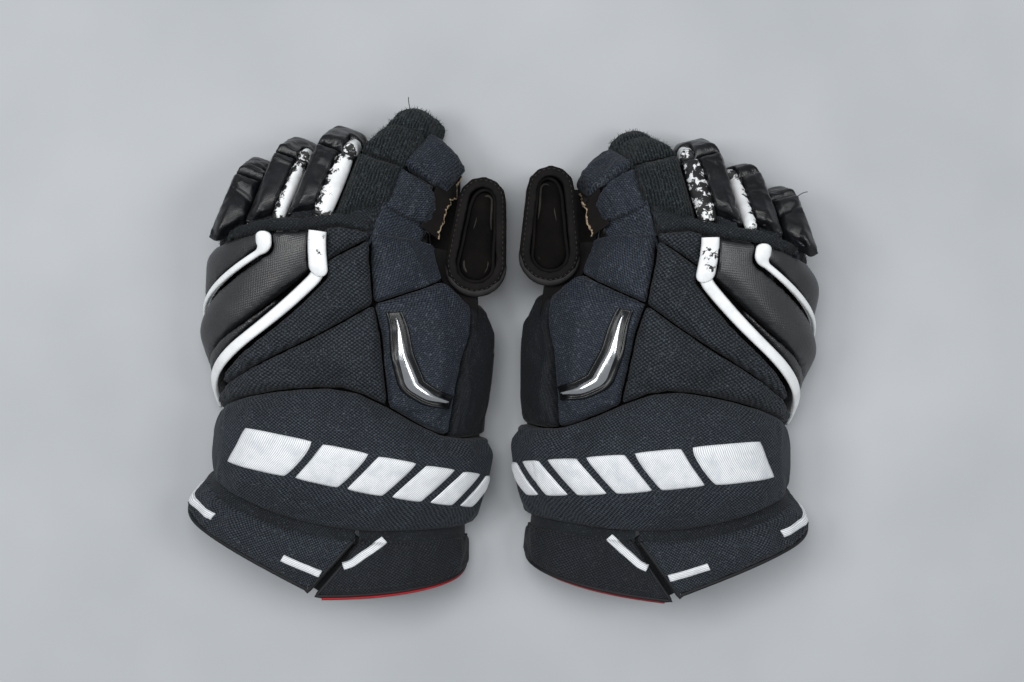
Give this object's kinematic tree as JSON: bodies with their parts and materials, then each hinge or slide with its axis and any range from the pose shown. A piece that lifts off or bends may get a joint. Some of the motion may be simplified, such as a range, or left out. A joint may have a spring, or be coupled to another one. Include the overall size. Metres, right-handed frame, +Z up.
{
  "type": "pair of ice hockey gloves",
  "caption": "Pair of padded ice hockey gloves with slanting foam rolls, a thick wrist roll, flared cuff flaps, jointed fingers and stiff thumb guards, lying palm down.",
  "frame": {"origin": "on the surface that the pair lies on, below the middle of the pair's outline", "axes": "+X from the left glove to the right glove, +Y to the fingers, +Z up from the palms"},
  "size_m": [0.3988, 0.3092, 0.0825],
  "materials": {
    "smooth_vinyl": "smooth black coated fabric, slight sheen",
    "black_mesh": "matt black woven mesh",
    "grey_twill": "matt charcoal twill",
    "worn_mesh": "worn, fuzzy dark mesh",
    "lining": "matt dark lining",
    "palm_leather": "dark suede",
    "cuff_board": "plain moulded sheet",
    "bright_trim": "bright moulded trim"
  },
  "bodies": {
    "left_hand": {"left_palm": "palm_leather", "left_liner": "lining", "left_outer_roll": "smooth_vinyl", "left_second_roll": "smooth_vinyl", "left_third_roll": "smooth_vinyl", "left_fourth_roll": "black_mesh", "left_fifth_roll": "black_mesh", "left_knuckle_panel": "black_mesh", "left_knuckle_welt": "black_mesh", "left_index_knuckle_pad": "grey_twill", "left_thumb_side_pad": "grey_twill", "left_side_gusset": "black_mesh", "left_trim_badge": "bright_trim", "left_wrist_roll": "black_mesh"},
    "left_back_cuff_flap": {"left_back_cuff": "black_mesh", "left_back_cuff_board": "cuff_board"},
    "left_thumb_cuff_flap": {"left_thumb_cuff": "black_mesh", "left_thumb_cuff_board": "cuff_board"},
    "left_thumb": {"left_thumb_shell": "palm_leather", "left_thumb_lining": "lining"},
    "left_index_base": {"left_index_base": "worn_mesh", "left_index_base_side": "worn_mesh"},
    "left_index_tip": {"left_index_tip": "worn_mesh", "left_index_tip_side": "worn_mesh"},
    "left_middle_base": {"left_middle_base": "smooth_vinyl"},
    "left_middle_tip": {"left_middle_tip": "smooth_vinyl"},
    "left_ring_base": {"left_ring_base": "smooth_vinyl"},
    "left_ring_tip": {"left_ring_tip": "smooth_vinyl"},
    "left_pinky_base": {"left_pinky_base": "smooth_vinyl"},
    "left_pinky_tip": {"left_pinky_tip": "smooth_vinyl"},
    "right_hand": {"right_palm": "palm_leather", "right_liner": "lining", "right_outer_roll": "smooth_vinyl", "right_second_roll": "smooth_vinyl", "right_third_roll": "smooth_vinyl", "right_fourth_roll": "black_mesh", "right_fifth_roll": "black_mesh", "right_knuckle_panel": "black_mesh", "right_knuckle_welt": "black_mesh", "right_index_knuckle_pad": "grey_twill", "right_thumb_side_pad": "grey_twill", "right_side_gusset": "black_mesh", "right_trim_badge": "bright_trim", "right_wrist_roll": "black_mesh"},
    "right_back_cuff_flap": {"right_back_cuff": "black_mesh", "right_back_cuff_board": "cuff_board"},
    "right_thumb_cuff_flap": {"right_thumb_cuff": "black_mesh", "right_thumb_cuff_board": "cuff_board"},
    "right_thumb": {"right_thumb_shell": "palm_leather", "right_thumb_lining": "lining"},
    "right_index_base": {"right_index_base": "worn_mesh", "right_index_base_side": "worn_mesh"},
    "right_index_tip": {"right_index_tip": "worn_mesh", "right_index_tip_side": "worn_mesh"},
    "right_middle_base": {"right_middle_base": "smooth_vinyl"},
    "right_middle_tip": {"right_middle_tip": "smooth_vinyl"},
    "right_ring_base": {"right_ring_base": "smooth_vinyl"},
    "right_ring_tip": {"right_ring_tip": "smooth_vinyl"},
    "right_pinky_base": {"right_pinky_base": "smooth_vinyl"},
    "right_pinky_tip": {"right_pinky_tip": "smooth_vinyl"}
  },
  "joints": [
    {"name": "left_back_cuff_hinge", "type": "hinge", "parent": "left_hand", "child": "left_back_cuff_flap", "pos_m": [-0.14074, -0.09579, 0.04341], "axis": [-0.8058, 0.4006, -0.4361], "range_deg": [-4, 8]},
    {"name": "left_thumb_cuff_hinge", "type": "hinge", "parent": "left_hand", "child": "left_thumb_cuff_flap", "pos_m": [-0.05248, -0.11417, 0.0378], "axis": [-0.7949, 0.0103, 0.6067], "range_deg": [-4, 8]},
    {"name": "left_thumb_hinge", "type": "hinge", "parent": "left_hand", "child": "left_thumb", "pos_m": [-0.01676, 0.03438, 0.024], "axis": [1, 0, 0], "range_deg": [-6, 10]},
    {"name": "left_index_knuckle", "type": "hinge", "parent": "left_hand", "child": "left_index_base", "pos_m": [-0.0863, 0.08404, 0.065], "axis": [-0.9397, 0.342, 0], "range_deg": [-10, 24]},
    {"name": "left_index_midjoint", "type": "hinge", "parent": "left_index_base", "child": "left_index_tip", "pos_m": [-0.07485, 0.11549, 0.05477], "axis": [-0.9397, 0.342, 0], "range_deg": [-12, 24]},
    {"name": "left_middle_knuckle", "type": "hinge", "parent": "left_hand", "child": "left_middle_base", "pos_m": [-0.11672, 0.08234, 0.065], "axis": [-0.9397, 0.342, 0], "range_deg": [-10, 24]},
    {"name": "left_middle_midjoint", "type": "hinge", "parent": "left_middle_base", "child": "left_middle_tip", "pos_m": [-0.10346, 0.11877, 0.05165], "axis": [-0.9397, 0.342, 0], "range_deg": [-12, 24]},
    {"name": "left_ring_knuckle", "type": "hinge", "parent": "left_hand", "child": "left_ring_base", "pos_m": [-0.14421, 0.08064, 0.058], "axis": [-0.9397, 0.342, 0], "range_deg": [-10, 24]},
    {"name": "left_ring_midjoint", "type": "hinge", "parent": "left_ring_base", "child": "left_ring_tip", "pos_m": [-0.13185, 0.1146, 0.04626], "axis": [-0.9397, 0.342, 0], "range_deg": [-12, 24]},
    {"name": "left_pinky_knuckle", "type": "hinge", "parent": "left_hand", "child": "left_pinky_base", "pos_m": [-0.16834, 0.07718, 0.049], "axis": [-0.9397, 0.342, 0], "range_deg": [-10, 24]},
    {"name": "left_pinky_midjoint", "type": "hinge", "parent": "left_pinky_base", "child": "left_pinky_tip", "pos_m": [-0.15891, 0.1031, 0.04004], "axis": [-0.9397, 0.342, 0], "range_deg": [-12, 24]},
    {"name": "right_back_cuff_hinge", "type": "hinge", "parent": "right_hand", "child": "right_back_cuff_flap", "pos_m": [0.13556, -0.10207, 0.04341], "axis": [-0.846, -0.3068, 0.4361], "range_deg": [-4, 8]},
    {"name": "right_thumb_cuff_hinge", "type": "hinge", "parent": "right_hand", "child": "right_thumb_cuff_flap", "pos_m": [0.04579, -0.11034, 0.0378], "axis": [-0.7909, 0.0797, -0.6067], "range_deg": [-4, 8]},
    {"name": "right_thumb_hinge", "type": "hinge", "parent": "right_hand", "child": "right_thumb", "pos_m": [0.02712, 0.0413, 0.024], "axis": [0.9936, -0.1132, 0], "range_deg": [-6, 10]},
    {"name": "right_index_knuckle", "type": "hinge", "parent": "right_hand", "child": "right_index_base", "pos_m": [0.10183, 0.08277, 0.065], "axis": [-0.9724, -0.2334, 0], "range_deg": [-10, 16]},
    {"name": "right_index_midjoint", "type": "hinge", "parent": "right_index_base", "child": "right_index_tip", "pos_m": [0.09442, 0.11361, 0.05021], "axis": [-0.9724, -0.2334, 0], "range_deg": [-12, 8]},
    {"name": "right_middle_knuckle", "type": "hinge", "parent": "right_hand", "child": "right_middle_base", "pos_m": [0.13186, 0.07763, 0.065], "axis": [-0.9724, -0.2334, 0], "range_deg": [-10, 20]},
    {"name": "right_middle_midjoint", "type": "hinge", "parent": "right_middle_base", "child": "right_middle_tip", "pos_m": [0.12305, 0.11433, 0.04898], "axis": [-0.9724, -0.2334, 0], "range_deg": [-12, 22]},
    {"name": "right_ring_knuckle", "type": "hinge", "parent": "right_hand", "child": "right_ring_base", "pos_m": [0.15898, 0.07283, 0.058], "axis": [-0.9724, -0.2334, 0], "range_deg": [-10, 6]},
    {"name": "right_ring_midjoint", "type": "hinge", "parent": "right_ring_base", "child": "right_ring_tip", "pos_m": [0.1518, 0.10273, 0.03566], "axis": [-0.9724, -0.2334, 0], "range_deg": [-12, 24]},
    {"name": "right_pinky_knuckle", "type": "hinge", "parent": "right_hand", "child": "right_pinky_base", "pos_m": [0.18257, 0.06667, 0.049], "axis": [-0.9724, -0.2334, 0], "range_deg": [-10, 6]},
    {"name": "right_pinky_midjoint", "type": "hinge", "parent": "right_pinky_base", "child": "right_pinky_tip", "pos_m": [0.17709, 0.08948, 0.03195], "axis": [-0.9724, -0.2334, 0], "range_deg": [-12, 24]},
    {"name": "right_glove_apart", "type": "slide", "parent": "left_hand", "child": "right_hand", "axis": [1, 0, 0], "range_m": [0, 0.25]}
  ]
}
